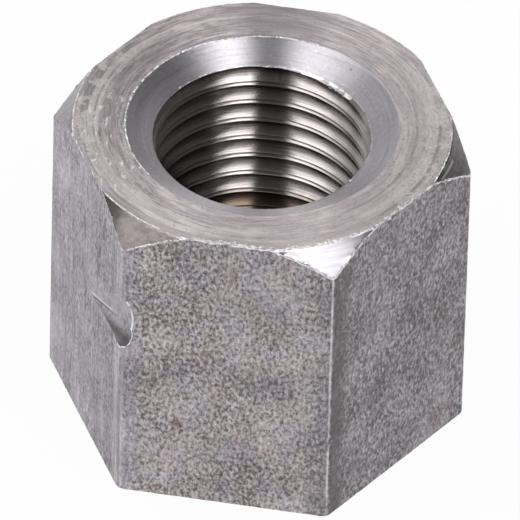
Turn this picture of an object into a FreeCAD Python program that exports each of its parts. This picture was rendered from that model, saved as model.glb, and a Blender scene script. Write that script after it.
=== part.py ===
import FreeCAD, Part
import math
import os

import Sketcher

# Flywheel nut: a tall hexagon nut, turned and tapped from one length of drawn hexagon bar.
# The origin is the middle of the seating face and +Z runs up the thread.
# Two flats face +Y and -Y, and two corners point along +X and -X.

# Driving dimensions, in millimetres and degrees
DIMENSIONS = [
    ("across_flats", 22.225, "seven eighths of an inch, over two opposite flats"),
    ("nut_height", 20.64, "thirteen sixteenths of an inch, seating face to turned face"),
    ("bar_edge_radius", 0.63, "rounded edge that the drawn bar has between two flats"),
    ("turned_face_diameter", 22.75, "circle on the turned face where the corner chamfer starts"),
    ("chamfer_slope", 50.0, "fall of the corner chamfer, measured from the turned face"),
    ("thread_diameter", 14.288, "nine sixteenths of an inch, over the roots of the thread"),
    ("thread_pitch", 1.4111, "eighteen threads in an inch"),
    ("countersink_diameter", 16.43, "mouth of the countersink in the turned face"),
    ("countersink_angle", 120.0, "full angle of the countersink at each end"),
    ("seat_relief", 0.25, "radial step from the thread's roots to the lower countersink's mouth"),
    ("scrape_start", 6.3, "where the chisel's scrape begins, along the flat from the sharp corner"),
    ("scrape_height", 11.15, "height of that beginning above the seating face"),
    ("scrape_rise", 19.0, "climb of the scrape along the flat towards the corner"),
    ("scrape_lean", 19.0, "how far the chisel's point leaned out of the flat"),
    ("scrape_point", 49.0, "full angle of the chisel's round point"),
    ("scrape_standoff", 0.05, "from the flat out to the tip of that point where it starts"),
    ("scrape_length", 9.0, "length of that point, enough to run out over the corner"),
    ("hollow_radius", 1.3, "round of the hollow where the chisel bit into the corner"),
    ("hollow_height", 12.38, "height of the hollow's middle above the seating face"),
    ("hollow_setback", 0.32, "from the sharp corner back along the flat to the hollow's middle"),
    ("hollow_standoff", 0.55, "from the flat out to the hollow's middle"),
]

# A sixty degree thread loses this share of its pitch from root diameter to crest diameter
THREAD_DEPTH_SHARE = 1.0825

# The chisel struck the flat that faces this way, in degrees from +X
STRUCK_FLAT_DIRECTION = 210

size = {alias: value for alias, value, meaning in DIMENSIONS}

doc = FreeCAD.newDocument("FlywheelNut")
sheet = doc.addObject("Spreadsheet::Sheet", "Dimensions")
for row, (alias, value, meaning) in enumerate(DIMENSIONS, start=1):
    sheet.set(f"A{row}", alias)
    sheet.set(f"B{row}", str(value))
    sheet.setAlias(f"B{row}", alias)
    sheet.set(f"C{row}", meaning)
doc.recompute()

body = doc.addObject("PartDesign::Body", "FlywheelNut")
body.Label = "flywheel_nut"


def new_sketch(name, role):
    """An empty sketch on the origin plane of the body that has this role."""
    plane = next(item for item in body.Origin.OriginFeatures if item.Role == role)
    sketch = body.newObject("Sketcher::SketchObject", name)
    sketch.AttachmentSupport = [(plane, "")]
    sketch.MapMode = "FlatFace"
    return sketch


def add_closed_outline(sketch, corners):
    """Straight lines round the corners, joined end to start. Returns their indices."""
    lines = []
    for here, there in zip(corners, corners[1:] + corners[:1]):
        segment = Part.LineSegment(FreeCAD.Vector(*here, 0), FreeCAD.Vector(*there, 0))
        lines.append(sketch.addGeometry(segment, False))
    for this_line, next_line in zip(lines, lines[1:] + lines[:1]):
        sketch.addConstraint(Sketcher.Constraint("Coincident", this_line, 2, next_line, 1))
    return lines


def drive(sketch, name, constraint, formula):
    """Add the constraint under a name and bind it to the sheet."""
    index = sketch.addConstraint(constraint)
    sketch.renameConstraint(index, name)
    sketch.setExpression(f"Constraints.{name}", formula)


def upright_edges(shape):
    """Names of the straight edges of the shape that run along Z."""
    names = []
    for index, edge in enumerate(shape.Edges, start=1):
        start, end = edge.Vertexes[0].Point, edge.Vertexes[-1].Point
        if math.hypot(end.x - start.x, end.y - start.y) < 1e-6:
            names.append(f"Edge{index}")
    return names


# Hexagon bar: a regular hexagon on a corner circle, with one corner on +X
bar_section = new_sketch("BarSection", "XY_Plane")
corner_distance = size["across_flats"] / math.sqrt(3)
corner_angles = [math.radians(60 * corner) for corner in range(6)]
hexagon = [
    (corner_distance * math.cos(angle), corner_distance * math.sin(angle))
    for angle in corner_angles
]
sides = add_closed_outline(bar_section, hexagon)
corner_circle = bar_section.addGeometry(
    Part.Circle(FreeCAD.Vector(0, 0, 0), FreeCAD.Vector(0, 0, 1), corner_distance), True
)
bar_section.addConstraint(Sketcher.Constraint("Coincident", corner_circle, 3, -1, 1))
for side in sides:
    bar_section.addConstraint(Sketcher.Constraint("PointOnObject", side, 1, corner_circle))
for side in sides[1:]:
    bar_section.addConstraint(Sketcher.Constraint("Equal", sides[0], side))
bar_section.addConstraint(Sketcher.Constraint("PointOnObject", sides[0], 1, -1))
drive(
    bar_section,
    "across_corners",
    Sketcher.Constraint("Diameter", corner_circle, 2 * corner_distance),
    "Dimensions.across_flats * 2 / sqrt(3)",
)

bar = body.newObject("PartDesign::Pad", "Bar")
bar.Profile = bar_section
bar.setExpression("Length", "Dimensions.nut_height")
doc.recompute()

# The drawn bar's six edges are slightly rounded
bar_edges = body.newObject("PartDesign::Fillet", "BarEdges")
bar_edges.Base = (bar, upright_edges(bar.Shape))
bar_edges.setExpression("Radius", "Dimensions.bar_edge_radius")
doc.recompute()

# Corner chamfer: a cone turned on the top, which meets each flat in a curved edge.
# It starts just outside the flats, so the middle of each flat runs straight up to the face.
crown_section = new_sketch("CrownSection", "XZ_Plane")
start_radius = size["turned_face_diameter"] / 2
clear_radius = size["across_flats"]
fall = (clear_radius - start_radius) * math.tan(math.radians(size["chamfer_slope"]))
crown_corners = [
    (start_radius, size["nut_height"]),
    (clear_radius, size["nut_height"] - fall),
    (clear_radius, size["nut_height"]),
]
slope_line, outer_line, face_line = add_closed_outline(crown_section, crown_corners)
crown_section.addConstraint(Sketcher.Constraint("Vertical", outer_line))
crown_section.addConstraint(Sketcher.Constraint("Horizontal", face_line))
drive(
    crown_section,
    "face_height",
    Sketcher.Constraint("DistanceY", -1, 1, slope_line, 1, size["nut_height"]),
    "Dimensions.nut_height",
)
drive(
    crown_section,
    "start_radius",
    Sketcher.Constraint("DistanceX", -1, 1, slope_line, 1, start_radius),
    "Dimensions.turned_face_diameter / 2",
)
drive(
    crown_section,
    "clear_radius",
    Sketcher.Constraint("DistanceX", -1, 1, face_line, 1, clear_radius),
    "Dimensions.across_flats",
)
drive(
    crown_section,
    "chamfer_fall",
    Sketcher.Constraint("DistanceY", outer_line, 1, outer_line, 2, fall),
    "(Dimensions.across_flats - Dimensions.turned_face_diameter / 2) * tan(Dimensions.chamfer_slope)",
)

corner_chamfer = body.newObject("PartDesign::Groove", "CornerChamfer")
corner_chamfer.Profile = crown_section
corner_chamfer.ReferenceAxis = (crown_section, ["V_Axis"])
corner_chamfer.Angle = 360
doc.recompute()

# Bore at the crests of the thread, countersunk into the turned face
bore_centre = new_sketch("BoreCentre", "XY_Plane")
bore_centre.setExpression("AttachmentOffset.Base.z", "Dimensions.nut_height")
crest_radius = (size["thread_diameter"] - THREAD_DEPTH_SHARE * size["thread_pitch"]) / 2
bore_circle = bore_centre.addGeometry(
    Part.Circle(FreeCAD.Vector(0, 0, 0), FreeCAD.Vector(0, 0, 1), crest_radius), False
)
bore_centre.addConstraint(Sketcher.Constraint("Coincident", bore_circle, 3, -1, 1))
drive(
    bore_centre,
    "crest_radius",
    Sketcher.Constraint("Radius", bore_circle, crest_radius),
    f"(Dimensions.thread_diameter - {THREAD_DEPTH_SHARE} * Dimensions.thread_pitch) / 2",
)
doc.recompute()

bore = body.newObject("PartDesign::Hole", "ThreadBore")
bore.Profile = bore_centre
doc.recompute()
bore.Threaded = False
bore.DepthType = "ThroughAll"
bore.HoleCutType = "Countersink"
bore.HoleCutCustomValues = True
bore.setExpression(
    "Diameter", f"Dimensions.thread_diameter - {THREAD_DEPTH_SHARE} * Dimensions.thread_pitch"
)
bore.setExpression("HoleCutDiameter", "Dimensions.countersink_diameter")
bore.setExpression("HoleCutCountersinkAngle", "Dimensions.countersink_angle")
doc.recompute()

# The lower end of the thread has a small countersink, so that the first turn doesn't stand proud
lower_countersink = body.newObject("PartDesign::SubtractiveCone", "LowerCountersink")
lower_countersink.setExpression("Radius1", "Dimensions.thread_diameter / 2 + Dimensions.seat_relief")
lower_countersink.Radius2 = 0
lower_countersink.setExpression(
    "Height",
    "(Dimensions.thread_diameter / 2 + Dimensions.seat_relief) / tan(Dimensions.countersink_angle / 2)",
)
doc.recompute()

# Chisel mark on one corner, as found: a scrape that widens to the corner, and a hollow at its end.
# Both are set out from the struck flat: x out of it, y along it to the corner, and z up.
struck_flat = f"placement(vector(0; 0; 0); rotation(vector(0; 0; 1); {STRUCK_FLAT_DIRECTION}))"
flat_distance = "Dimensions.across_flats / 2"
corner_along = "Dimensions.across_flats / (2 * sqrt(3))"

scrape = body.newObject("PartDesign::SubtractiveCone", "CornerScrape")
scrape.Radius1 = 0
scrape.setExpression("Radius2", "Dimensions.scrape_length * tan(Dimensions.scrape_point / 2)")
scrape.setExpression("Height", "Dimensions.scrape_length")
scrape_place = (
    f"placement(vector({flat_distance} + Dimensions.scrape_standoff; "
    f"{corner_along} - Dimensions.scrape_start; Dimensions.scrape_height); "
    "rotation(vector(1; 0; 0); Dimensions.scrape_rise))"
)
lean_out = "placement(vector(0; 0; 0); rotation(vector(0; 0; 1); -Dimensions.scrape_lean))"
lie_along = "placement(vector(0; 0; 0); rotation(vector(1; 0; 0); -90))"
scrape.setExpression("Placement", f"{struck_flat} * {scrape_place} * {lean_out} * {lie_along}")
doc.recompute()

hollow = body.newObject("PartDesign::SubtractiveSphere", "CornerHollow")
hollow.setExpression("Radius", "Dimensions.hollow_radius")
hollow_place = (
    f"placement(vector({flat_distance} + Dimensions.hollow_standoff; "
    f"{corner_along} - Dimensions.hollow_setback; Dimensions.hollow_height); "
    "rotation(vector(0; 0; 1); 0))"
)
hollow.setExpression("Placement", f"{struck_flat} * {hollow_place}")
body.Tip = hollow
doc.recompute()

# Nothing is written unless every object is sound
for item in doc.Objects:
    if "Invalid" in item.State or "Error" in item.State:
        raise RuntimeError(f"{item.Label} did not build: {item.State}")
if body.Shape.isNull() or not body.Shape.isValid() or len(body.Shape.Solids) != 1:
    raise RuntimeError("the nut is not one sound solid")

os.makedirs("parts", exist_ok=True)
body.Shape.exportStep(f"parts/{body.Label}.step")
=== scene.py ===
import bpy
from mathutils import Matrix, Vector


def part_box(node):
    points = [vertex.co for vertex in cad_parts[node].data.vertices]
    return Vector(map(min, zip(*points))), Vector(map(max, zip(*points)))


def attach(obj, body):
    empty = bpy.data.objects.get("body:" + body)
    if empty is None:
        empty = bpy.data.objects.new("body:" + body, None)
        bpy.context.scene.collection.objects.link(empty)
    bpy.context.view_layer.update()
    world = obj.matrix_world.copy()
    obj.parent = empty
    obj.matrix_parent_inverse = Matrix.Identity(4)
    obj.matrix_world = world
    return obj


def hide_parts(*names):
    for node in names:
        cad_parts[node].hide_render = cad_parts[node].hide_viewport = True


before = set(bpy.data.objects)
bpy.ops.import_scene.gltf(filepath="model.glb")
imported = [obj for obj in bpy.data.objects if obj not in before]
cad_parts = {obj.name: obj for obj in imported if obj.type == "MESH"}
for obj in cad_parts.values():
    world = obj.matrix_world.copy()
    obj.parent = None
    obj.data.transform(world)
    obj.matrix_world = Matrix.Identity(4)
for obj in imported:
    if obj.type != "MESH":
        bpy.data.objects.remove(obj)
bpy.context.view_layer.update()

import math
import random

import bmesh
import bpy
from mathutils import Matrix, Vector

bl_info = {
    "name": "Flywheel Nut",
    "version": (1, 0, 0),
    "blender": (4, 5, 0),
    "location": "View3D > Sidebar > Flywheel Nut",
    "description": "Models a tall hexagon nut with its thread, tool marks and wear, and its studio",
    "category": "Add Mesh",
}

# The nut is drawn at a thousand times its size, so that one unit is a millimetre, and scaled at the end
DRAWING_SCALE = 1000.0
CAD_NODE = "flywheel_nut"
CAD_BODY = "root"
PHOTO_SIDE = 520

node_low, node_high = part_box(CAD_NODE)
FLATS_FROM_FRAME = node_high.y - node_low.y
HEIGHT_FROM_FRAME = node_high.z - node_low.z
HALF_LENGTH_FROM_FRAME = min(node_high.x, -node_low.x)


def length(name, description, default):
    """A size in metres."""
    return bpy.props.FloatProperty(
        name=name, description=description, default=default, min=0.0, precision=6, unit="LENGTH"
    )


def turn(name, description, degrees):
    """An angle, written here in degrees."""
    return bpy.props.FloatProperty(
        name=name, description=description, default=math.radians(degrees), unit="ROTATION"
    )


def colour(name, description, default):
    """A colour."""
    return bpy.props.FloatVectorProperty(
        name=name, description=description, default=default, size=3, min=0.0, max=1.0,
        subtype="COLOR",
    )


class NutSizes(bpy.types.PropertyGroup):
    """Sizes of the nut"""

    across_flats: length("Across flats", "Width over two opposite flats", FLATS_FROM_FRAME)
    height: length("Height", "Seating face to turned face", HEIGHT_FROM_FRAME)
    edge_round: length("Edge rounding", "Radius of the drawn bar's upright edges", 0.00063)
    face_diameter: length("Turned face", "Circle where the corner chamfer starts", 0.02275)
    chamfer_slope: turn("Chamfer slope", "Fall of the corner chamfer from the turned face", 50)
    thread_diameter: length("Thread diameter", "Over the roots of the thread", 0.014288)
    thread_pitch: length("Thread pitch", "Rise of the thread in one turn", 0.0014111)
    thread_depth_below_face: length(
        "Thread start", "From the turned face down to a crest's upper edge, on the +Y side", 0.003432
    )
    thread_top: length("Thread top", "From the turned face down to the first groove's end", 0.00098)
    crest_seam: length("Crest seam", "Depth of the seam that tapping left along each crest", 0.00023)
    countersink_diameter: length("Countersink", "Mouth of the countersink", 0.01643)
    countersink_angle: turn("Countersink angle", "Full angle of the countersink", 120)
    seat_relief: length("Seat relief", "Step out to the lower countersink's mouth", 0.00025)
    scrape_start: length("Scrape start", "From the sharp corner back along the flat", 0.0063)
    scrape_height: length("Scrape height", "Height of the scrape's beginning", 0.01115)
    scrape_rise: turn("Scrape rise", "Climb of the scrape towards the corner", 19)
    scrape_lean: turn("Scrape lean", "Lean of the chisel's point out of the flat", 19)
    scrape_point: turn("Scrape point", "Full angle of the chisel's point", 49)
    scrape_standoff: length("Scrape standoff", "From the flat to the tip of the point", 0.00005)
    scrape_length: length("Scrape length", "Length of the chisel's point", 0.009)
    hollow_radius: length("Hollow radius", "Round of the hollow at the scrape's end", 0.0013)
    hollow_height: length("Hollow height", "Height of the hollow's middle", 0.01238)
    hollow_setback: length("Hollow setback", "From the sharp corner to the hollow's middle", 0.00032)
    hollow_standoff: length("Hollow standoff", "From the flat out to the hollow's middle", 0.00055)


class SteelColours(bpy.types.PropertyGroup):
    """Colours of the steel, its films and its marks"""

    drawn: colour("Drawn steel", "Clean drawn flats", (0.44, 0.382, 0.388))
    drawn_warm: colour("Warm steel", "Flats under a thin brown film", (0.43, 0.33, 0.335))
    drawn_smooth: colour("Smooth steel", "The smoother flat with drawing lines", (0.53, 0.485, 0.585))
    # A violet tint darkened as painted shade, for the right flat and mottling on the chisel mark
    drawn_cool_shade: colour("Cool steel", "Darker flat under a thin violet film", (0.22, 0.19, 0.231))
    drawn_violet: colour("Violet film", "Patches of violet film on the flats", (0.37, 0.335, 0.41))
    drawn_olive: colour("Olive film", "Patches of olive film on the flats", (0.43, 0.392, 0.362))
    # Also used as painted shade and painted shadow beside corners, on chamfers and in the chisel mark
    pit_and_shade: colour("Pits", "Inside the corrosion pits", (0.13, 0.115, 0.115))
    rust: colour("Rust", "Spots of brown rust", (0.17, 0.095, 0.07))
    turned: colour("Turned steel", "Faced end", (0.49, 0.445, 0.46))
    turned_pink: colour("Pink film", "Warmer patches of the faced end", (0.52, 0.455, 0.465))
    turned_dark: colour("Turned rings", "Darker rings of the faced end", (0.23, 0.205, 0.215))
    turned_light: colour("Light rings", "Lighter rings and rubbed patches", (0.62, 0.59, 0.57))
    bore: colour("Countersink", "Cleanly turned countersink", (0.51, 0.49, 0.53))
    thread: colour("Thread", "Oily thread flanks", (0.41, 0.375, 0.365))
    brown: colour("Brown film", "Brown streaks on a corner chamfer", (0.24, 0.205, 0.19))
    # Also used as painted shade at the thread's roots
    stain_and_shade: colour("Stain", "Brown stain low in the thread", (0.10, 0.065, 0.04))
    # Also used as painted highlights: lines along corners and the rim, the chisel mark's scratch, and glints
    # on burrs
    bright: colour("Bright metal", "Freshly rubbed edges and scratches", (0.92, 0.91, 0.92))


class StudioSettings(bpy.types.PropertyGroup):
    """Place of the camera, and the floor and world round the nut"""

    azimuth: turn("Azimuth", "Camera's turn round the nut from the front flat", 9.4156)
    elevation: turn("Elevation", "Camera's height above the horizon", 41.1527)
    roll: turn("Roll", "Camera's turn about its own line of sight", 1.561)
    distance: length("Distance", "Camera to the middle of the seating face", 1.0001)
    slide_right: length("Slide right", "Camera's slide to its own right", 0.000282)
    slide_up: length("Slide up", "Camera's slide along its own up", 0.007468)
    focal_pixels: bpy.props.FloatProperty(
        name="Focal length", description="In pixels of the square picture", default=16483.25
    )
    floor_side: length("Floor", "Side of the floor", 6.0)
    floor_colour: colour("Floor colour", "Pale floor", (0.8, 0.8, 0.8))
    floor_whiteness: bpy.props.FloatProperty(
        name="Floor whiteness", description="Share of the floor's look that is plain white",
        default=0.94, min=0.0, max=1.0, subtype="FACTOR",
    )
    world_colour: colour("World", "Even light from all round", (0.13, 0.13, 0.13))


# Ways that the flats and corners face, in degrees round the axis from the X direction
RIGHT_FLAT, FRONT_FLAT, STRUCK_FLAT = 330, 270, 210
RIGHT_CORNER, FRONT_CORNER, STRUCK_CORNER, LEFT_CORNER = 0, 300, 240, 180
BACK = 90
QUARTER_TURN = 90

# Places of the finishes in the nut's material slots
DRAWN, FACED, CHAMFER, COUNTERSINK, THREAD, TORN, WORN = range(7)

# Corners nearer than this are joined, in a piece as it is made and in the nut after its cuts
WELD = 0.0005
CUT_WELD = 0.002

# Starts the random numbers of the tool's rings, which are the same each time
RING_SEED = 18

# Faces that meet at less than this are shaded as one
SMOOTH_BELOW = math.radians(22)

# Where a material's nodes are laid out, beside its shader
NODE_ROWS = 8
NODE_LEFT, NODE_TOP = -4800, 600
NODE_WIDTH, NODE_HEIGHT = 200, 170


def level_direction(degrees):
    """The level direction this far round the axis."""
    return Vector((math.cos(math.radians(degrees)), math.sin(math.radians(degrees)), 0))


# Three of the six ways that the flats face; the others are opposite
FLAT_DIRECTIONS = [level_direction(flat - 180) for flat in (STRUCK_FLAT, FRONT_FLAT, RIGHT_FLAT)]


def mm(size):
    """A size in the drawing's own units."""
    return size * DRAWING_SCALE


def select_only(piece):
    """Makes the piece the only selected and active object."""
    bpy.ops.object.select_all(action="DESELECT")
    piece.select_set(True)
    bpy.context.view_layer.objects.active = piece


def add(maker, name, **settings):
    """Adds an object by this operator with nothing else selected, and names it."""
    bpy.ops.object.select_all(action="DESELECT")
    maker(**settings)
    made = bpy.context.object
    made.name = name
    return made


def settle(piece):
    """Puts the piece's place, turn and scale into its mesh."""
    select_only(piece)
    bpy.ops.object.transform_apply(location=True, rotation=True, scale=True)


def start_editing(piece):
    """Opens the piece in edit mode with everything selected."""
    select_only(piece)
    bpy.ops.object.mode_set(mode="EDIT")
    bpy.ops.mesh.select_mode(type="VERT")
    bpy.ops.mesh.select_all(action="SELECT")


def stop_editing():
    """Goes back to object mode."""
    bpy.ops.object.mode_set(mode="OBJECT")


def pick(piece, kind, wanted):
    """Selects the corners, edges or faces of the open mesh that are wanted, and counts them."""
    bpy.ops.mesh.select_mode(type=kind)
    bpy.ops.mesh.select_all(action="DESELECT")
    mesh = bmesh.from_edit_mesh(piece.data)
    mesh.normal_update()
    parts = {"VERT": mesh.verts, "EDGE": mesh.edges, "FACE": mesh.faces}[kind]
    chosen = [part for part in parts if wanted(part)]
    for part in chosen:
        part.select_set(True)
    mesh.select_flush_mode()
    bmesh.update_edit_mesh(piece.data)
    return len(chosen)


def apply_modifier(piece, kind, **settings):
    """Adds a modifier with these settings and applies it."""
    select_only(piece)
    modifier = piece.modifiers.new(kind.title(), kind)
    for setting, value in settings.items():
        setattr(modifier, setting, value)
    name = modifier.name
    bpy.ops.object.modifier_apply(modifier=name)
    if name in piece.modifiers:
        raise RuntimeError(f"{name} could not be applied to {piece.name}")


def cut(piece, tool, operation="DIFFERENCE"):
    """Cuts the tool out of the piece, or does what the operation says, and drops the tool."""
    apply_modifier(piece, "BOOLEAN", operation=operation, object=tool, solver="MANIFOLD")
    bpy.data.objects.remove(tool)


def roughen(piece, grain, depth):
    """Presses an uneven surface of this grain and depth into the piece, never outwards."""
    texture = bpy.data.textures.new("uneven", "CLOUDS")
    texture.noise_scale = grain
    apply_modifier(piece, "DISPLACE", texture=texture, strength=depth, mid_level=1.0)


def coat(piece, finishes, chosen):
    """Gives the piece every finish, and each face the one that chosen(face) names by its slot."""
    piece.data.materials.clear()
    for material in finishes:
        piece.data.materials.append(material)
    for face in piece.data.polygons:
        face.material_index = chosen(face)


def draw_line(name, points):
    """Draws a line through the points (distance from the axis, height), corner by corner."""
    line = add(bpy.ops.mesh.primitive_plane_add, name, size=1.0)
    start_editing(line)
    bpy.ops.mesh.merge(type="CENTER")
    first_radius, first_height = points[0]
    bpy.ops.transform.translate(value=(first_radius, 0, first_height))
    for (radius, height), (next_radius, next_height) in zip(points, points[1:]):
        move = {"value": (next_radius - radius, 0, next_height - height)}
        bpy.ops.mesh.extrude_vertices_move(TRANSFORM_OT_translate=move)
    stop_editing()
    return line


def tooled_run(start, end, spacing, depth, chance):
    """Points from start to end with the shallow, uneven rings that a turning tool leaves."""
    run = Vector(end) - Vector(start)
    inward = Vector((run.y, -run.x)).normalized()
    steps = max(2, round(run.length / spacing))
    points = [tuple(start)]
    for step in range(1, steps):
        place = Vector(start) + run * (step + chance.uniform(-0.3, 0.3)) / steps
        place += inward * depth * chance.random()
        points.append(tuple(place))
    return points


def add_bar(sizes):
    """The drawn hexagon bar, longer than the nut at both ends, with its uneven surface."""
    overrun = 1.0
    rounding_steps, level_rows, upright_rows = 8, 95, 51
    across = mm(sizes.across_flats)
    tall = mm(sizes.height) + 2 * overrun
    bar = add(
        bpy.ops.mesh.primitive_cylinder_add, "nut", vertices=6, radius=across / math.sqrt(3),
        depth=tall, location=(0, 0, mm(sizes.height) / 2), rotation=(0, 0, math.radians(30)),
    )
    settle(bar)
    start_editing(bar)

    def upright(edge):
        low, high = edge.verts
        return abs(low.co.z - high.co.z) > tall / 2

    def along_flat(edge):
        return edge.calc_length() > across / 3

    pick(bar, "EDGE", upright)
    tangent = mm(sizes.edge_round) * math.tan(math.radians(30))
    bpy.ops.mesh.bevel(
        offset=tangent, offset_type="OFFSET", segments=rounding_steps, profile=0.5, affect="EDGES"
    )
    for wanted, cuts in ((upright, level_rows), (along_flat, upright_rows)):
        pick(bar, "EDGE", wanted)
        bpy.ops.mesh.subdivide(number_cuts=cuts)
    stop_editing()
    for grain in (5.0, 0.9):
        roughen(bar, grain, depth=0.02)
    return bar


def add_turned_blank(sizes, chance):
    """The form that the lathe left, all round the axis: both ends, chamfer and countersinks."""
    # Radii inside the thread and outside the bar
    core, clear = 5.0, 14.5
    steps_round = 256
    tall = mm(sizes.height)
    cone = math.tan(sizes.countersink_angle / 2)
    mouth = mm(sizes.countersink_diameter) / 2
    seat_mouth = mm(sizes.thread_diameter) / 2 + mm(sizes.seat_relief)
    face = mm(sizes.face_diameter) / 2
    fall = (clear - face) * math.tan(sizes.chamfer_slope)
    low_core = (core, (seat_mouth - core) / cone)
    high_core = (core, tall - (mouth - core) / cone)
    corners = (
        low_core, (seat_mouth, 0), (clear, 0), (clear, tall - fall), (face, tall), (mouth, tall), high_core
    )
    # Between each two corners, the spacing of the tool's rings and their depth
    tooling = ((0.3, 0.004), (0.2, -0.008), (20, 0), (0.16, -0.006), (0.11, -0.014), (0.12, -0.004))
    points = []
    for start, end, (spacing, depth) in zip(corners, corners[1:], tooling):
        points += tooled_run(start, end, spacing, depth, chance)
    blank = draw_line("blank", points + [high_core, low_core])
    start_editing(blank)
    bpy.ops.mesh.spin(steps=steps_round, angle=2 * math.pi, center=(0, 0, 0), axis=(0, 0, 1))
    bpy.ops.mesh.select_all(action="SELECT")
    bpy.ops.mesh.remove_doubles(threshold=WELD)
    bpy.ops.mesh.normals_make_consistent(inside=False)
    stop_editing()
    return blank


def add_thread_tap(sizes):
    """The tap that cut the thread: one turn's outline, screwed up through the nut and closed."""
    pitch = mm(sizes.thread_pitch)
    root = mm(sizes.thread_diameter) / 2
    # A sixty degree form, cut to five eighths of its sharp height
    depth = pitch * math.sqrt(3) / 2 * 5 / 8
    crest = root - depth
    flank = depth * math.tan(math.radians(30))
    seam = crest + mm(sizes.crest_seam)
    # From the crest's upper edge down to the seam's upper edge, bottom and lower edge
    seam_high, seam_middle, seam_low = pitch * 0.02, pitch * 0.095, pitch * 0.215
    turns, turns_above, steps_round = 20, 4, 128
    start = mm(sizes.height) - mm(sizes.thread_depth_below_face) - pitch / 4
    start -= (turns - turns_above) * pitch
    tap = draw_line("tap", [
        (crest, start - pitch / 4),
        (crest, start - seam_low),
        (seam, start - seam_middle),
        (crest, start - seam_high),
        (crest, start),
        (root, start + flank),
        (root, start + flank + pitch / 8),
        (crest, start + 2 * flank + pitch / 8),
    ])
    apply_modifier(
        tap, "SCREW", axis="Z", angle=2 * math.pi, screw_offset=pitch, iterations=turns,
        steps=steps_round, render_steps=steps_round, use_merge_vertices=True, merge_threshold=WELD,
    )
    start_editing(tap)
    bpy.ops.mesh.remove_doubles(threshold=WELD)
    middle = start + turns * pitch / 2
    for high in (False, True):
        pick(tap, "EDGE", lambda edge: edge.is_boundary and (edge.verts[0].co.z > middle) == high)
        bpy.ops.mesh.edge_face_add()
        bpy.ops.mesh.poke()
    bpy.ops.mesh.select_all(action="SELECT")
    bpy.ops.mesh.normals_make_consistent(inside=False)
    stop_editing()
    top = mm(sizes.height) - mm(sizes.thread_top)
    just_below = top - 0.001
    reach = 40.0
    block = add(
        bpy.ops.mesh.primitive_cube_add, "block", size=reach, location=(0, 0, top - reach / 2)
    )
    cut(tap, block, "INTERSECT")
    start_editing(tap)
    pick(tap, "FACE", lambda face: face.calc_center_median().z > just_below)
    bpy.ops.mesh.dissolve_faces()
    bpy.ops.mesh.poke()
    stop_editing()
    return tap


def on_struck_flat(sizes, standoff, setback, height):
    """A place on the struck flat. There x points out of the flat, y along it to the corner, z up."""
    across = mm(sizes.across_flats)
    place = Matrix.Translation((
        across / 2 + mm(standoff), across / (2 * math.sqrt(3)) - mm(setback), mm(height)
    ))
    return Matrix.Rotation(math.radians(STRUCK_FLAT), 4, "Z") @ place


def add_scrape(sizes):
    """The chisel's point, which scraped along the flat and ran out over the corner."""
    long = mm(sizes.scrape_length)
    point = add(
        bpy.ops.mesh.primitive_cone_add, "scrape", vertices=96, radius1=0,
        radius2=long * math.tan(sizes.scrape_point / 2), depth=long, location=(0, 0, long / 2),
    )
    settle(point)
    place = on_struck_flat(sizes, sizes.scrape_standoff, sizes.scrape_start, sizes.scrape_height)
    rise = Matrix.Rotation(sizes.scrape_rise, 4, "X")
    lean = Matrix.Rotation(-sizes.scrape_lean, 4, "Z")
    lie = Matrix.Rotation(-math.pi / 2, 4, "X")
    point.matrix_world = place @ rise @ lean @ lie
    settle(point)
    return point


def add_hollow(sizes):
    """The round hollow where the chisel bit into the corner."""
    hollow = add(
        bpy.ops.mesh.primitive_uv_sphere_add, "hollow", segments=64, ring_count=32,
        radius=mm(sizes.hollow_radius),
    )
    hollow.matrix_world = on_struck_flat(
        sizes, sizes.hollow_standoff, sizes.hollow_setback, sizes.hollow_height
    )
    settle(hollow)
    return hollow


class Wiring:
    """A material, wired node by node."""

    def __init__(self, name):
        self.material = bpy.data.materials.new(name)
        self.material.use_nodes = True
        self.nodes = self.material.node_tree.nodes
        self.links = self.material.node_tree.links
        self.shader = self.nodes["Principled BSDF"]

    def node(self, kind, **settings):
        """Adds a node in the next free place, column by column."""
        made = self.nodes.new(kind)
        column, row = divmod(len(self.nodes), NODE_ROWS)
        made.location = (NODE_LEFT + column * NODE_WIDTH, NODE_TOP - row * NODE_HEIGHT)
        for setting, value in settings.items():
            setattr(made, setting, value)
        return made

    def feed(self, socket, value):
        """Links the value to the socket if it is a socket too, and otherwise writes it there."""
        if isinstance(value, bpy.types.NodeSocket):
            self.links.new(value, socket)
        elif socket.type == "RGBA":
            socket.default_value = (*value, 1)
        else:
            socket.default_value = value

    def feed_all(self, node, values):
        """Feeds the node's sockets, by their names or places where the values give them."""
        named = values.items() if isinstance(values, dict) else enumerate(values)
        for key, value in named:
            self.feed(node.inputs[key], value)

    def number(self, operation, *values):
        """One step of arithmetic."""
        node = self.node("ShaderNodeMath", operation=operation)
        self.feed_all(node, values)
        return node.outputs["Value"]

    def minus(self, first, second):
        """The first value less the second."""
        return self.number("SUBTRACT", first, second)

    def product(self, whole, *others):
        """Multiplies the values."""
        for other in others:
            whole = self.number("MULTIPLY", whole, other)
        return whole

    def total(self, *parts):
        """Adds up the parts, each a value and its weight."""
        whole = 0.0
        for value, weight in parts:
            whole = self.number("MULTIPLY_ADD", value, weight, whole)
        return whole


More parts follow.
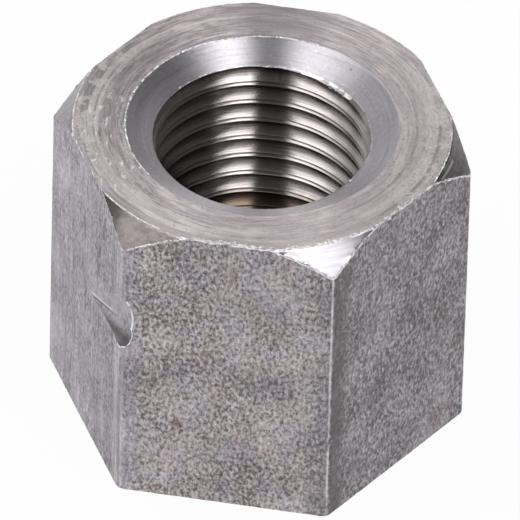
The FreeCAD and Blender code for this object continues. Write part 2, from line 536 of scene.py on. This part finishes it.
class Finish(Wiring):
    """A steel finish. Its lengths are in millimetres from the nut's axis and seating face."""

    def __init__(self, name, roughness, anisotropy=0.0, metallic=1.0, level=False):
        super().__init__(name)
        self.feed_all(self.shader, {
            "Metallic": metallic, "Roughness": roughness, "Anisotropic": anisotropy
        })
        on_nut = self.node("ShaderNodeTexCoord").outputs["Object"]
        self.place = self.vector("SCALE", on_nut, scale=DRAWING_SCALE)
        self.x, self.y, self.z = self.parts(self.place)
        outward = self.stack(self.x, self.y, 0)
        self.radius = self.vector("LENGTH", outward)
        self.outward = self.vector("NORMALIZE", outward)
        if anisotropy:
            across_rings = self.outward if level else self.stack(0, 0, 1)
            self.feed(self.shader.inputs["Tangent"], across_rings)

    def vector(self, operation, *values, scale=None):
        """One step of vector arithmetic."""
        node = self.node("ShaderNodeVectorMath", operation=operation)
        self.feed_all(node, values)
        if scale is not None:
            self.feed(node.inputs["Scale"], scale)
        single = operation in ("LENGTH", "DOT_PRODUCT", "DISTANCE")
        return node.outputs["Value" if single else "Vector"]

    def parts(self, vector):
        """The vector's x, y and z."""
        node = self.node("ShaderNodeSeparateXYZ")
        self.feed_all(node, (vector,))
        return tuple(node.outputs)

    def stack(self, x, y, z):
        """A vector of the three values."""
        node = self.node("ShaderNodeCombineXYZ")
        self.feed_all(node, (x, y, z))
        return node.outputs["Vector"]

    def noise(self, place, scale, detail=2.0, roughness=0.5):
        """An uneven value between 0 and 1."""
        node = self.node("ShaderNodeTexNoise")
        self.feed_all(node, {"Vector": place, "Scale": scale, "Detail": detail, "Roughness": roughness})
        return node.outputs["Fac"]

    def rise(self, value, low, high, top=1.0):
        """Climbs smoothly from 0 at low to top at high. With low above high it falls instead."""
        node = self.node("ShaderNodeMapRange", interpolation_type="SMOOTHSTEP")
        ends = (low, high, 0.0, top) if low < high else (high, low, top, 0.0)
        self.feed_all(node, (value, *ends))
        return node.outputs["Result"]

    def ramp(self, value, low, high):
        """Climbs evenly from 0 at low to 1 at high."""
        node = self.node("ShaderNodeMapRange")
        self.feed_all(node, (value, low, high))
        return node.outputs["Result"]

    def paint(self, metal, tint, *shares):
        """Covers the metal with the tint, by the product of the shares."""
        node = self.node("ShaderNodeMix", data_type="RGBA")
        self.feed_all(node, {0: self.product(*shares), 6: metal, 7: tint})
        return node.outputs[2]

    def along(self, degrees):
        """Distance from the axis in this direction."""
        return self.vector("DOT_PRODUCT", self.place, level_direction(degrees))

    def facing(self, degrees, low, high):
        """Share of the surface that faces this way round. Low and high are cosines of the way off."""
        return self.rise(self.vector("DOT_PRODUCT", self.outward, level_direction(degrees)), low, high)

    def stretched(self, x_scale, y_scale, z_scale):
        """The place on the nut with each direction scaled by itself."""
        return self.vector("MULTIPLY", self.place, (x_scale, y_scale, z_scale))

    def rings(self, spacing, arc, detail=2.0, roughness=0.6):
        """Rings round the axis this far apart, each changing slowly along its arc."""
        across = self.number("DIVIDE", self.radius, spacing)
        along_x, along_y, _ = self.parts(self.vector("SCALE", self.outward, scale=arc))
        return self.noise(self.stack(along_x, along_y, across), 1.0, detail, roughness)

    def inside_flats(self, half_across):
        """Distance inwards from the nearest flat."""
        furthest, *others = [
            self.number("ABSOLUTE", self.vector("DOT_PRODUCT", self.place, direction))
            for direction in FLAT_DIRECTIONS
        ]
        for reach in others:
            furthest = self.number("MAXIMUM", furthest, reach)
        return self.minus(half_across, furthest)

    def spot(self, centre, reach, ragged):
        """A blot round a point of the nut, with a ragged edge."""
        away = self.vector("DISTANCE", self.place, centre)
        edge = self.product(self.noise(self.place, 3.0, 3.0), ragged * 2)
        return self.rise(self.number("ADD", away, edge), reach + ragged, reach * 0.4 + ragged)

    def finish(self, colour, height, height_size, roughness=None):
        """Feeds the shader, with the height in units of height_size millimetres."""
        bump = self.node("ShaderNodeBump")
        self.feed_all(bump, {"Distance": height_size / DRAWING_SCALE, "Height": height})
        self.feed_all(self.shader, {"Base Color": colour, "Normal": bump.outputs["Normal"]})
        if roughness is not None:
            self.feed(self.shader.inputs["Roughness"], roughness)
        return self.material


def film_over(steel, colours, smooth_flat, shaded_right_flat):
    """The drawn steel's colour: patches of thin film, and the tints of the two flats, the right flat's darker
    tint being painted shade.
    """
    metal = colours.drawn
    for grain_size, shift, tint in (
        (0.6, 0.0, colours.drawn_warm),
        (0.7, 13.0, colours.drawn_olive),
        (0.5, 7.0, colours.drawn_violet),
    ):
        moved = steel.vector("ADD", steel.place, (shift, shift, shift))
        metal = steel.paint(metal, tint, steel.rise(steel.noise(moved, grain_size), 0.44, 0.62, 0.65))
    # Painted shade: the right flat darkened under its violet tint
    metal = steel.paint(metal, colours.drawn_cool_shade, shaded_right_flat, 0.8)
    return steel.paint(metal, colours.drawn_smooth, smooth_flat, 0.8)


def paint_corner_light(steel, colours, metal):
    """Painted light on the corners: a painted highlight line on the front corner with painted shade beside
    it, and a painted highlight with thin painted shade lines on the struck corner's side.
    """
    aside = steel.along(FRONT_CORNER + QUARTER_TURN)
    here = steel.facing(FRONT_CORNER, 0.97, 0.99)
    light_breaks = steel.noise(steel.stretched(1, 1, 0.4), 1.2, 3.0, 0.7)
    # Painted shade: a dark band beside the front corner
    metal = steel.paint(
        metal, colours.pit_and_shade, steel.rise(aside, 0.05, 0.2), steel.rise(aside, 1.7, 0.6), here,
        steel.rise(light_breaks, 0.15, 0.55), 0.8,
    )
    # Painted highlight: a bright line along the front corner
    metal = steel.paint(
        metal, colours.bright, steel.rise(aside, -0.11, -0.02), steel.rise(aside, 0.08, 0.02), here,
        steel.rise(light_breaks, 0.25, 0.62), 0.55,
    )
    aside = steel.along(STRUCK_CORNER - QUARTER_TURN)
    # All of it below the chisel mark, and most of it above
    off_mark = steel.total((steel.rise(steel.z, 12.5, 9.5), 1.0), (steel.rise(steel.z, 13.3, 14.0), 0.7))
    rubbed_and_highlit = steel.product(
        steel.rise(aside, 1.2, 0.5), steel.rise(aside, -0.26, -0.02),
        steel.facing(STRUCK_CORNER, 0.97, 0.99), off_mark,
    )
    lines = steel.rise(steel.noise(steel.stretched(1, 1, 0.02), 4.5, 2.0, 0.6), 0.4, 0.6)
    # The struck corner's side gets a painted highlight, then thin lines of painted shade
    metal = steel.paint(metal, colours.bright, rubbed_and_highlit, 0.35)
    return steel.paint(metal, colours.pit_and_shade, rubbed_and_highlit, lines, 0.45)


def drawn_finish(sizes, colours):
    """Flats of the drawn bar: grey, finely pitted, with brown films and rust, painted shade on the right flat
    and along two corners, and painted highlights along two corners and the rim.
    """
    steel = Finish("drawn_flats", 0.5)
    half_across = mm(sizes.across_flats) / 2
    smooth_flat = steel.facing(STRUCK_FLAT, 0.80, 0.86)
    shaded_right_flat = steel.facing(RIGHT_FLAT, 0.80, 0.86)
    metal = film_over(steel, colours, smooth_flat, shaded_right_flat)

    left_band = steel.product(steel.rise(steel.along(STRUCK_FLAT + QUARTER_TURN), -3.2, -5.0), smooth_flat)
    light_top = steel.product(steel.rise(steel.z, 7.0, 17.0), smooth_flat)
    front_left = steel.product(steel.facing(FRONT_FLAT, 0.8, 0.86), steel.rise(steel.x, 1.0, -5.0))
    heavy = steel.noise(steel.place, 0.33)
    patchy = steel.noise(steel.vector("ADD", steel.place, (31.0, 5.0, 2.0)), 0.3, 1.0)
    tone = steel.noise(steel.stretched(1, 1, 0.7), 4.7, 1.7, 0.75)
    contrast = steel.total(
        (smooth_flat, -0.28), (shaded_right_flat, -0.02), (left_band, -0.15), (patchy, 0.8), (0.48, 1.0),
        (front_left, 0.12),
    )
    swing = steel.product(steel.minus(tone, 0.5), contrast)
    grain = steel.ramp(steel.total((swing, 1.0), (heavy, 0.25), (-0.098, 1.0)), -0.215, 0.215)
    paler = steel.total((steel.minus(1.0, grain), 0.40), (left_band, 0.10), (light_top, 0.10))
    metal = steel.paint(metal, colours.bright, paler)
    metal = steel.paint(metal, colours.pit_and_shade, steel.number("POWER", grain, 1.9), 0.95)

    deep = steel.noise(steel.stretched(1, 1, 0.5), 4.6, 1.0)
    deep = steel.total((deep, 1.0), (heavy, 0.25), (smooth_flat, -0.08), (shaded_right_flat, 0.04))
    deep = steel.rise(deep, 0.70, 0.80)
    metal = steel.paint(metal, colours.pit_and_shade, deep, 0.6)
    dashes = steel.rise(steel.noise(steel.stretched(1, 1, 0.22), 2.2, 3.0, 0.75), 0.54, 0.68)
    beside_band = steel.total((left_band, -0.6), (1.0, 1.0))
    metal = steel.paint(metal, colours.pit_and_shade, dashes, smooth_flat, beside_band, 0.7)
    lines = steel.ramp(steel.noise(steel.stretched(1, 1, 0.06), 2.6, 3.0, 0.6), 0.35, 0.7)
    lines = steel.product(lines, steel.total((smooth_flat, 0.36), (0.05, 1.0)))
    metal = steel.paint(metal, colours.pit_and_shade, lines)

    for centre, reach in (((0.23, -half_across, 13.54), 0.10), ((2.24, -half_across, 16.28), 0.08)):
        metal = steel.paint(metal, colours.pit_and_shade, steel.spot(centre, reach, 0.12), 0.7)
    rusty = steel.spot((-2.85, -half_across, 5.94), 0.47, 0.42)
    metal = steel.paint(metal, colours.rust, rusty, steel.total((tone, 1.6), (-0.1, 1.0)))
    metal = steel.paint(metal, colours.rust, steel.spot((11.55, -2.23, 1.45), 1.1, 0.8), 0.3)
    # Painted highlights and painted shade along the front and struck corners
    metal = paint_corner_light(steel, colours, metal)

    # Painted highlight: a bright line just below the chamfer's rim, on every flat but the struck one
    beyond = steel.number("MAXIMUM", steel.minus(steel.radius, mm(sizes.face_diameter) / 2), 0)
    rim = steel.minus(mm(sizes.height), steel.product(beyond, math.tan(sizes.chamfer_slope)))
    ragged = steel.product(steel.minus(steel.noise(steel.place, 2.5, 3.0), 0.5), 0.35)
    below_rim = steel.number("ADD", steel.minus(rim, steel.z), ragged)
    off_struck_flat = steel.total((smooth_flat, -0.85), (1.0, 1.0))
    metal = steel.paint(metal, colours.bright, steel.rise(below_rim, 0.16, 0.04), off_struck_flat)
    sunk = steel.total((grain, -0.9), (deep, -0.6), (lines, -0.6))
    return steel.finish(metal, sunk, 0.02, steel.total((0.40, 1.0), (grain, 0.2)))


def faced_finish(sizes, colours):
    """The faced end: concentric rings, rubbed cream patches, a few pits, and burrs at the rim."""
    steel = Finish("faced_end", 0.42, 0.75, level=True)
    fine = steel.rings(0.14, 4.5, 3.0, 0.8)
    broad = steel.rings(0.55, 1.4)
    speck = steel.noise(steel.place, 5.0, 3.0, 0.75)
    blotch = steel.noise(steel.place, 0.8, 3.0, 0.6)
    metal = steel.paint(colours.turned, colours.turned_pink, steel.rise(blotch, 0.4, 0.62))
    ringed = steel.total(
        (steel.facing(LEFT_CORNER, -0.3, 0.8), 0.4), (steel.facing(BACK, -0.1, 0.9), 0.25),
        (steel.facing(RIGHT_CORNER, 0.5, 0.9), -0.25), (0.52, 1.0),
    )
    metal = steel.paint(metal, colours.turned_dark, steel.ramp(fine, 0.38, 0.66), ringed)
    light = steel.rise(steel.total((broad, 0.75), (fine, -0.3), (blotch, 0.3)), 0.36, 0.52)
    metal = steel.paint(metal, colours.turned_light, light, 0.65)

    # Single rings: their radii, the way that their middle faces, and how far round they reach
    wavy = steel.total((steel.radius, 1.0), (speck, 0.14), (-0.07, 1.0))
    soft = 0.05
    for inner, outer, middle, low, high, strength, tint in (
        (8.75, 9.8, 190, 0.45, 0.8, 0.22, colours.turned_dark),
        (9.88, 10.5, 190, 0.5, 0.8, 0.45, colours.turned_light),
        (10.06, 10.16, 182, 0.88, 0.95, 0.6, colours.turned_dark),
        (10.55, 10.98, 174, 0.955, 0.98, 0.5, colours.turned_dark),
        (9.2, 9.34, 345, 0.6, 0.8, 0.35, colours.turned_dark),
        (9.9, 10.5, 5, 0.6, 0.85, 0.4, colours.turned_light),
        (10.55, 10.75, 350, 0.8, 0.92, 0.5, colours.turned_dark),
    ):
        metal = steel.paint(
            metal, tint, steel.rise(wavy, inner - soft, inner + soft),
            steel.rise(wavy, outer + soft, outer - soft), steel.facing(middle, low, high), strength,
        )

    sideways = steel.number("ABSOLUTE", steel.parts(steel.outward)[0])
    patch = steel.rise(steel.noise(steel.place, 1.3, 3.0, 0.6), 0.5, 0.6)
    metal = steel.paint(
        metal, colours.turned_light, steel.rise(steel.radius, 9.3, 10.3),
        steel.rise(sideways, 0.7, 0.95), patch, 0.7,
    )
    pitted = steel.rise(speck, 0.56, 0.70)
    metal = steel.paint(metal, colours.pit_and_shade, pitted, 0.4)
    metal = steel.paint(metal, colours.turned_dark, steel.facing(94, 0.94, 0.995), 0.45)
    scuffs = steel.rise(steel.noise(steel.stretched(1, 0.3, 1), 3.0, 3.0, 0.8), 0.57, 0.66)
    metal = steel.paint(metal, colours.bright, scuffs, steel.facing(200, 0.8, 0.95), 0.6)
    to_circle = steel.minus(mm(sizes.face_diameter) / 2, steel.radius)
    to_rim = steel.number("MINIMUM", to_circle, steel.inside_flats(mm(sizes.across_flats) / 2))
    burrs = steel.total((to_rim, -0.5), (steel.noise(steel.place, 3.4, 3.0, 0.75), 1.0))
    burrs = steel.rise(burrs, 0.40, 0.48)
    metal = steel.paint(metal, colours.bright, burrs, steel.facing(298, 0.72, 0.88), 0.75)
    rough = steel.number("ADD", 0.36, steel.product(speck, 0.16))
    sunk = steel.number("ADD", fine, steel.product(pitted, 0.8))
    return steel.finish(metal, steel.product(sunk, -1.0), 0.012, rough)


def countersink_finish(colours):
    """The cleanly turned countersink: very fine rings, a streaked shine, and a burr at the bore whose glints
    are painted as a broken bright line on the far side.
    """
    steel = Finish("countersink", 0.44, 0.92)
    fine = steel.rings(0.09, 2.5, 3.0)
    speck = steel.noise(steel.place, 4.0, 3.0, 0.8)
    metal = steel.paint(colours.bore, colours.turned_dark, steel.rise(fine, 0.45, 0.7), 0.35)
    metal = steel.paint(metal, colours.brown, steel.facing(FRONT_FLAT, 0.1, 0.7), 0.4)
    left_slope = steel.product(steel.facing(LEFT_CORNER, 0.5, 0.9), steel.rise(steel.radius, 7.1, 7.5))
    metal = steel.paint(metal, colours.turned_dark, left_slope, 0.35)
    metal = steel.paint(metal, colours.pit_and_shade, steel.rise(speck, 0.56, 0.70, 0.3))
    metal = steel.paint(metal, colours.bright, steel.rise(speck, 0.42, 0.32, 0.3))
    metal = steel.paint(metal, colours.pit_and_shade, steel.spot((4.23, 6.46, 20.35), 0.14, 0.14), 0.7)
    # The burr at the bore, with its glints painted as a broken bright line on the far side
    burr = steel.rise(steel.total((steel.radius, 1.0), (speck, 0.2)), 6.74, 6.67)
    broken = steel.rise(steel.noise(steel.place, 2.2, 2.0, 0.6), 0.58, 0.48)
    metal = steel.paint(metal, colours.bright, burr, broken, steel.facing(BACK, -0.3, 0.2), 0.8)
    return steel.finish(metal, steel.total((fine, 1.0), (speck, 0.6)), 0.004)


def chamfer_finish(colours):
    """The turned corner chamfers: one bright, one brown with a painted shadow at its tip, one darkened by
    painted shade and scratched, one dull.
    """
    steel = Finish("chamfers", 0.33, 0.4)
    fine = steel.rings(0.12, 3.0, 3.0)
    speck = steel.noise(steel.place, 3.0, 3.0, 0.6)
    metal = steel.paint(colours.bore, colours.turned_dark, steel.rise(fine, 0.42, 0.66), 0.3)
    brown = steel.facing(STRUCK_CORNER, 0.93, 0.96)
    streaks = steel.noise(steel.stretched(0.5, 1.6, 0.8), 2.4, 3.0, 0.65)
    patches = steel.rise(steel.total((speck, 0.4), (streaks, 0.6)), 0.4, 0.62)
    metal = steel.paint(metal, colours.turned_pink, brown, 0.6)
    metal = steel.paint(metal, colours.brown, brown, patches, 0.55)
    # Painted shadow at the tip of the struck corner's chamfer
    metal = steel.paint(metal, colours.pit_and_shade, steel.facing(229, 0.992, 0.999), 0.7)
    # Painted shade darkening the right corner's chamfer
    dark = steel.total((speck, 0.5), (0.48, 1.0))
    metal = steel.paint(metal, colours.pit_and_shade, steel.facing(RIGHT_CORNER, 0.93, 0.96), dark)
    from_scratch = steel.number("ABSOLUTE", steel.total((steel.z, 1.0), (steel.y, 0.057), (-20.24, 1.0)))
    from_middle = steel.number("ABSOLUTE", steel.number("ADD", steel.y, 1.4))
    metal = steel.paint(
        metal, colours.bright, steel.rise(from_scratch, 0.08, 0.03), steel.rise(steel.x, 11.0, 11.2),
        steel.rise(from_middle, 1.1, 0.8), 0.5,
    )
    dull = steel.total((speck, 1.0), (-0.1, 1.0))
    metal = steel.paint(metal, colours.pit_and_shade, steel.facing(LEFT_CORNER, 0.9, 0.95), dull)
    return steel.finish(metal, fine, 0.006)


def thread_finish(colours):
    """Thread flanks: bright and oily, scored along the turns, nicked, darker and browner low down, and with
    painted shade towards the roots.
    """
    steel = Finish("thread", 0.22, 1.0)
    across_turns = steel.product(steel.radius, 9), steel.product(steel.z, 9)
    scored = steel.noise(steel.stack(*across_turns, steel.parts(steel.outward)[0]), 1.0, 3.0)
    metal = steel.paint(colours.thread, colours.turned_dark, steel.rise(scored, 0.4, 0.7), 0.4)
    # Darker and browner low in the thread
    low = steel.rise(steel.number("ADD", steel.z, steel.noise(steel.place, 1.0)), 11.2, 9.8)
    metal = steel.paint(metal, colours.stain_and_shade, low, 0.85)
    # Painted shade in the thread's roots
    root_shade = steel.rise(steel.total((steel.radius, 1.0), (scored, 0.3)), 7.0, 7.3)
    metal = steel.paint(metal, colours.stain_and_shade, root_shade, 0.6)
    for nick, reach in (((1.8, 6.33, 15.05), 0.2), ((2.15, 6.23, 14.65), 0.15), ((1.05, 6.52, 10.9), 0.2)):
        metal = steel.paint(metal, colours.stain_and_shade, steel.spot(nick, reach, 0.15), 0.8)
    return steel.finish(metal, scored, 0.006)


def torn_finish(colours):
    """The chisel mark: scraped along its length, with a scratch painted as a highlight line over a painted
    shadow line, and painted shade where it bit in.
    """
    steel = Finish("chisel_mark", 0.5, metallic=0.7)
    along = steel.along(STRUCK_FLAT + QUARTER_TURN)
    across = steel.total((steel.z, 6.0), (along, -2.0))
    streaks = steel.noise(steel.stack(across, steel.product(along, 0.5), 0), 1.0, 4.0, 0.75)
    metal = steel.paint(colours.bore, colours.turned_dark, steel.ramp(streaks, 0.45, 0.85))
    mottled = steel.rise(steel.noise(steel.stretched(1, 1, 0.4), 4.0, 2.0, 0.8), 0.5, 0.6, 0.6)
    metal = steel.paint(metal, colours.drawn_cool_shade, mottled)
    # A painted highlight line along the scrape's lower edge, and a painted shadow line just below it
    beside = steel.total((steel.z, 1.0), (along, -0.316), (-10.98, 1.0))
    early = steel.rise(along, 5.0, 3.5)
    for shift, tint in ((0.0, colours.bright), (0.12, colours.pit_and_shade)):
        offset = steel.number("ABSOLUTE", steel.number("ADD", beside, shift))
        metal = steel.paint(metal, tint, steel.rise(offset, 0.10, 0.03), early, 0.6)
    # Painted shade over the hollow, bounded by a plane through the nut
    above = steel.total((steel.x, 0.577), (steel.y, 0.599), (steel.z, 0.555), (streaks, 0.6), (3.0, 1.0))
    metal = steel.paint(metal, colours.pit_and_shade, steel.rise(above, 0.35, -0.15), steel.rise(along, 0.9, 4.6), 0.85)
    return steel.finish(metal, streaks, 0.05)


def worn_finish(sizes, colours):
    """Edges and burrs, rubbed bright in places, with painted highlights on the chisel mark's lip and the
    bore's burr, and dull beside the struck flat.
    """
    steel = Finish("worn_edges", 0.4, metallic=0.5)
    tall = mm(sizes.height)
    rubbed_and_highlit = steel.rise(steel.noise(steel.place, 2.2, 3.0, 0.8), 0.42, 0.55)
    dull = steel.product(steel.facing(205, 0.82, 0.87), steel.rise(steel.z, tall - 0.25, tall - 0.45))
    rubbed_and_highlit = steel.product(rubbed_and_highlit, steel.minus(1.0, dull))
    # Painted highlight: the chisel mark's lip and the far side of the bore's burr are made fully bright
    lip = steel.rise(steel.vector("DISTANCE", steel.place, (-6.2, -10.9, 12.2)), 2.4, 2.0)
    in_bore = steel.product(steel.rise(steel.radius, 7.6, 7.4), steel.facing(BACK, -0.2, 0.3))
    broken = steel.rise(steel.noise(steel.place, 1.6, 2.0, 0.6), 0.62, 0.54)
    for bright in (lip, steel.product(in_bore, broken)):
        rubbed_and_highlit = steel.number("MAXIMUM", rubbed_and_highlit, bright)
    metal = steel.paint(colours.drawn, colours.bright, rubbed_and_highlit)
    return steel.finish(metal, steel.noise(steel.place, 5.0), 0.25)


def turned_zone(face, sizes):
    """The finish of a face of the turned blank."""
    level = abs(face.normal.z) > 0.97
    if level:
        return FACED
    inner = math.hypot(face.center.x, face.center.y) < mm(sizes.countersink_diameter) / 2
    return COUNTERSINK if inner else CHAMFER


def wear_edges(nut, sizes):
    """Rubs the outer edges of the turning and the drawn bar, and raises burrs round the bore."""
    half_across = mm(sizes.across_flats) / 2
    half_long = mm(HALF_LENGTH_FROM_FRAME)
    tall = mm(sizes.height)
    outer = half_across - 0.35
    lowest_on_lip = -half_across + 0.5
    sharp = math.radians(26)
    bore_inner, bore_outer, bore_depth = 6.3, 7.3, 1.3
    burred_side, burrs_beyond = level_direction(150), 2.0
    smoothing_rounds = 12

    def slots(edge):
        return {face.material_index for face in edge.link_faces}

    def distance(edge):
        return min(math.hypot(corner.co.x, corner.co.y) for corner in edge.verts)

    def outer_edge(edge):
        if not edge.is_manifold or distance(edge) < outer or TORN in slots(edge):
            return False
        return edge.calc_face_angle() > sharp

    def lip_edge(edge):
        on_front_flat = max(corner.co.y for corner in edge.verts) < lowest_on_lip
        return slots(edge) == {TORN, DRAWN} and on_front_flat

    def outer_corner(corner):
        return any(outer_edge(edge) for edge in corner.link_edges)

    def burred_corner(corner):
        return outer_corner(corner) and corner.co.z > tall - 1 and corner.co.y < 0 < corner.co.x

    def bore_edge(edge):
        if not edge.is_manifold or not bore_inner < distance(edge) < bore_outer:
            return False
        high = min(corner.co.z for corner in edge.verts) > tall - bore_depth
        return high and slots(edge) == {COUNTERSINK, THREAD}

    def mouth_edge(edge):
        on_side = edge.verts[0].co.dot(burred_side) > burrs_beyond
        return slots(edge) == {COUNTERSINK, FACED} and on_side

    def outside(corner):
        reaches = [abs(corner.co.dot(direction)) for direction in FLAT_DIRECTIONS]
        beyond = max(reaches) - half_across, abs(corner.co.x) - half_long, corner.co.z - tall, -corner.co.z
        return max(beyond) > 0

    def jog(offset, seed):
        bpy.ops.transform.vertex_random(offset=offset, uniform=0.0, normal=0.0, seed=seed)

    start_editing(nut)
    pick(nut, "VERT", outer_corner)
    bpy.ops.mesh.remove_doubles(threshold=0.045)
    for wanted, wild, seed in ((outer_corner, 0.012, 5), (burred_corner, 0.045, 6)):
        pick(nut, "VERT", wanted)
        jog(wild, seed)
    for wanted, width, wild in (
        (outer_edge, 0.045, 0.0), (lip_edge, 0.08, 0.0), (mouth_edge, 0.05, 0.03), (bore_edge, 0.15, 0.06)
    ):
        pick(nut, "EDGE", wanted)
        bpy.ops.mesh.bevel(
            offset=width, offset_type="OFFSET", segments=2, profile=0.5, affect="EDGES",
            clamp_overlap=False, loop_slide=False, material=WORN,
        )
        if wild:
            jog(wild, seed=9)
    # Burrs that stand out of the solid's box are smoothed back into it
    for _ in range(smoothing_rounds):
        if not pick(nut, "VERT", outside):
            break
        bpy.ops.mesh.vertices_smooth(factor=1.0, repeat=1)
    stop_editing()


class FLYWHEELNUT_OT_make_nut(bpy.types.Operator):
    """Make the nut from hexagon bar, turned, tapped and marked as found"""

    bl_idname = "flywheel_nut.make_nut"
    bl_label = "Make the Nut"

    def execute(self, context):
        sizes = context.scene.nut_sizes
        colours = context.scene.nut_colours
        # In the order of their slots
        finishes = [
            drawn_finish(sizes, colours),
            faced_finish(sizes, colours),
            chamfer_finish(colours),
            countersink_finish(colours),
            thread_finish(colours),
            torn_finish(colours),
            worn_finish(sizes, colours),
        ]
        nut = add_bar(sizes)
        coat(nut, finishes, lambda face: DRAWN)
        blank = add_turned_blank(sizes, random.Random(RING_SEED))
        coat(blank, finishes, lambda face: turned_zone(face, sizes))
        cut(nut, blank, "INTERSECT")
        tap = add_thread_tap(sizes)
        coat(tap, finishes, lambda face: THREAD)
        cut(nut, tap)
        for tool in (add_scrape(sizes), add_hollow(sizes)):
            coat(tool, finishes, lambda face: TORN)
            cut(nut, tool)
        start_editing(nut)
        bpy.ops.mesh.remove_doubles(threshold=CUT_WELD)
        stop_editing()
        wear_edges(nut, sizes)
        nut.scale = (1 / DRAWING_SCALE,) * 3
        settle(nut)
        bpy.ops.object.shade_smooth_by_angle(angle=SMOOTH_BELOW)
        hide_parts(CAD_NODE)
        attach(nut, CAD_BODY)
        return {"FINISHED"}


def floor_finish(studio):
    """Pale floor that looks nearly white, straight on and in reflections, and keeps the shadow."""
    floor = Wiring("floor")
    floor.feed_all(floor.shader, {"Base Color": studio.floor_colour, "Roughness": 0.9})
    white = floor.node("ShaderNodeEmission")
    floor.feed(white.inputs["Color"], (1, 1, 1))
    ray = floor.node("ShaderNodeLightPath").outputs
    seen = floor.number("MAXIMUM", ray["Is Camera Ray"], ray["Is Glossy Ray"])
    seen = floor.number("MAXIMUM", seen, ray["Is Transmission Ray"])
    share = floor.product(seen, studio.floor_whiteness)
    blend = floor.node("ShaderNodeMixShader")
    floor.feed_all(blend, (share, floor.shader.outputs["BSDF"], white.outputs["Emission"]))
    floor.feed(floor.nodes["Material Output"].inputs["Surface"], blend.outputs["Shader"])
    return floor.material


def add_lamp(name, direction, along, sides, brightness, tint=(1, 1, 1)):
    """A soft panel that faces the nut, with its second side running along a direction.

    Its brightness is that of its surface, where white is one.
    """
    distance = 0.8
    facing = Vector(direction).normalized()
    first = Vector(along).cross(facing).normalized()
    second = facing.cross(first)
    lamp = add(bpy.ops.object.light_add, name, type="AREA", location=facing * distance)
    lamp.rotation_euler = Matrix((first, second, facing)).transposed().to_euler()
    lamp.data.shape = "RECTANGLE"
    lamp.data.size, lamp.data.size_y = sides
    lamp.data.energy = brightness * math.pi * sides[0] * sides[1]
    lamp.data.color = tint


def add_camera(studio):
    """The camera at the photo's viewing angle."""
    turned, raised = studio.azimuth, studio.elevation
    back = Vector((
        math.sin(turned) * math.cos(raised), -math.cos(turned) * math.cos(raised), math.sin(raised)
    ))
    level = Vector((0, 0, 1)).cross(back).normalized()
    upright = back.cross(level)
    right = math.cos(studio.roll) * level + math.sin(studio.roll) * upright
    up = math.cos(studio.roll) * upright - math.sin(studio.roll) * level
    place = back * studio.distance + right * studio.slide_right + up * studio.slide_up
    camera = add(bpy.ops.object.camera_add, "Camera")
    camera.matrix_world = Matrix.Translation(place) @ Matrix((right, up, back)).transposed().to_4x4()
    camera.data.sensor_width = 36.0
    camera.data.lens = camera.data.sensor_width * studio.focal_pixels / PHOTO_SIDE
    camera.data.clip_start, camera.data.clip_end = 0.1, 20.0
    return camera


class FLYWHEELNUT_OT_make_stage(bpy.types.Operator):
    """Make the floor, the lamps, the world and the camera"""

    bl_idname = "flywheel_nut.make_stage"
    bl_label = "Make the Studio"

    def execute(self, context):
        studio = context.scene.nut_studio
        floor = add(bpy.ops.mesh.primitive_plane_add, "floor", size=studio.floor_side)
        floor.data.materials.append(floor_finish(studio))
        world = bpy.data.worlds.new("studio")
        context.scene.world = world
        world.use_nodes = True
        world.node_tree.nodes["Background"].inputs["Color"].default_value = (*studio.world_colour, 1)
        upright, away = (0, 0, 1), (0, 1, 0)
        add_lamp("overhead left", (-0.36, -0.25, 0.90), away, (0.27, 1.1), 3.7)
        add_lamp("overhead right", (0.32, -0.2, 0.92), (-0.3, 1, 0), (0.215, 1.0), 4.4)
        add_lamp("far left", (-0.60, 0.0, 0.80), away, (0.15, 0.8), 1.6)
        add_lamp("left back", (-0.73, 0.42, 0.55), upright, (0.3, 0.35), 0.7)
        add_lamp("horizon", (-0.4, 0.90, 0.20), upright, (1.0, 0.32), 0.6)
        add_lamp("front right", (0.615, -0.534, 0.58), upright, (0.35, 0.35), 2.6)
        add_lamp("front left", (-0.79, -0.41, 0.46), upright, (0.4, 0.3), 0.8, (1, 0.95, 0.9))
        add_lamp("back", (-0.12, 0.74, 0.62), upright, (0.5, 0.35), 1.35)
        context.scene.camera = add_camera(studio)
        context.scene.view_settings.view_transform = "Standard"
        return {"FINISHED"}


class FLYWHEELNUT_PT_sidebar(bpy.types.Panel):
    """Lists the sizes and the makers"""

    bl_label = "Flywheel Nut"
    bl_idname = "FLYWHEELNUT_PT_sidebar"
    bl_space_type = "VIEW_3D"
    bl_region_type = "UI"
    bl_category = "Flywheel Nut"

    def draw(self, context):
        scene = context.scene
        for group in (scene.nut_sizes, scene.nut_colours, scene.nut_studio):
            for name in group.__annotations__:
                self.layout.prop(group, name)
        self.layout.operator(FLYWHEELNUT_OT_make_nut.bl_idname)
        self.layout.operator(FLYWHEELNUT_OT_make_stage.bl_idname)


CLASSES = (
    NutSizes,
    SteelColours,
    StudioSettings,
    FLYWHEELNUT_OT_make_nut,
    FLYWHEELNUT_OT_make_stage,
    FLYWHEELNUT_PT_sidebar,
)


def register():
    for item in CLASSES:
        bpy.utils.register_class(item)
    bpy.types.Scene.nut_sizes = bpy.props.PointerProperty(type=NutSizes)
    bpy.types.Scene.nut_colours = bpy.props.PointerProperty(type=SteelColours)
    bpy.types.Scene.nut_studio = bpy.props.PointerProperty(type=StudioSettings)


def unregister():
    del bpy.types.Scene.nut_studio
    del bpy.types.Scene.nut_colours
    del bpy.types.Scene.nut_sizes
    for item in reversed(CLASSES):
        bpy.utils.unregister_class(item)


def main():
    """Makes everything."""
    register()
    bpy.ops.flywheel_nut.make_nut()
    bpy.ops.flywheel_nut.make_stage()


if __name__ == "__main__":
    main()
